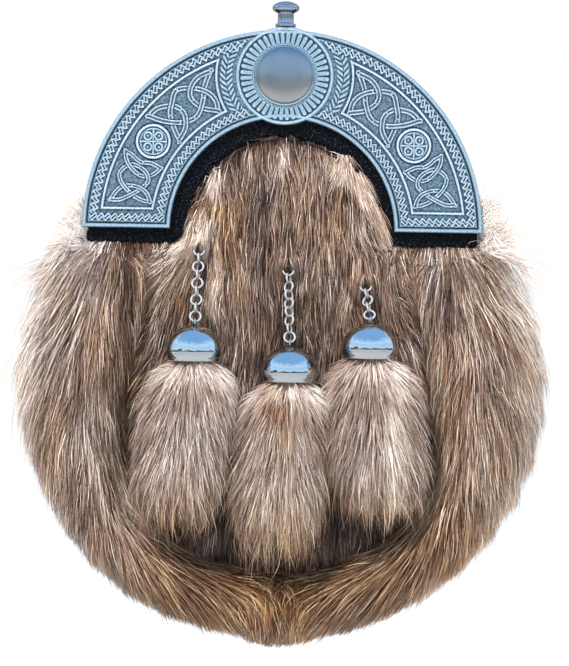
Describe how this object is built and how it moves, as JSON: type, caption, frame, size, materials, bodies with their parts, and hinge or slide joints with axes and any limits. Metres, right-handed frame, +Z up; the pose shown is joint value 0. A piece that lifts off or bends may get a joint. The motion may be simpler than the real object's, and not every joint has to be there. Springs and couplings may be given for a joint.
{
  "type": "sporran pouch",
  "caption": "Fur-covered leather pouch with a cast metal cantle of raised knotwork, a top stud and hanging fur tassels on chains; belt loops behind.",
  "frame": {"origin": "on the strap's line behind the pouch, midway between the two belt loops", "axes": "+Z up as worn, -Y out of the front, +X to the right seen from the front"},
  "size_m": [0.2036, 0.0649, 0.2485],
  "materials": {
    "antiqued_silver": "cast relief with darkened hollows and bright high spots",
    "polished_chrome": "mirror polish",
    "black_felt": "fuzzy wool felt with a pinked edge",
    "black_leather": "satin grain",
    "brown_fur": "long glossy guard hair",
    "pale_fur": "long soft hair, cream at the top"
  },
  "bodies": {
    "root": {"back_panel": "black_leather", "front_panel": "black_leather", "gusset": "black_leather", "belt_loop_left": "black_leather", "belt_loop_right": "black_leather", "felt_backing": "black_felt", "cantle": "antiqued_silver", "cantle_boss": "polished_chrome", "top_stud": "polished_chrome", "front_fur": "brown_fur", "fur_ruff": "brown_fur", "chain_staple_left": "polished_chrome", "chain_staple_centre": "polished_chrome", "chain_staple_right": "polished_chrome", "chain_left": "polished_chrome", "chain_centre": "polished_chrome", "chain_right": "polished_chrome", "bell_left": "polished_chrome", "bell_centre": "polished_chrome", "bell_right": "polished_chrome", "tassel_left": "pale_fur", "tassel_centre": "pale_fur", "tassel_right": "pale_fur"}
  },
  "joints": []
}
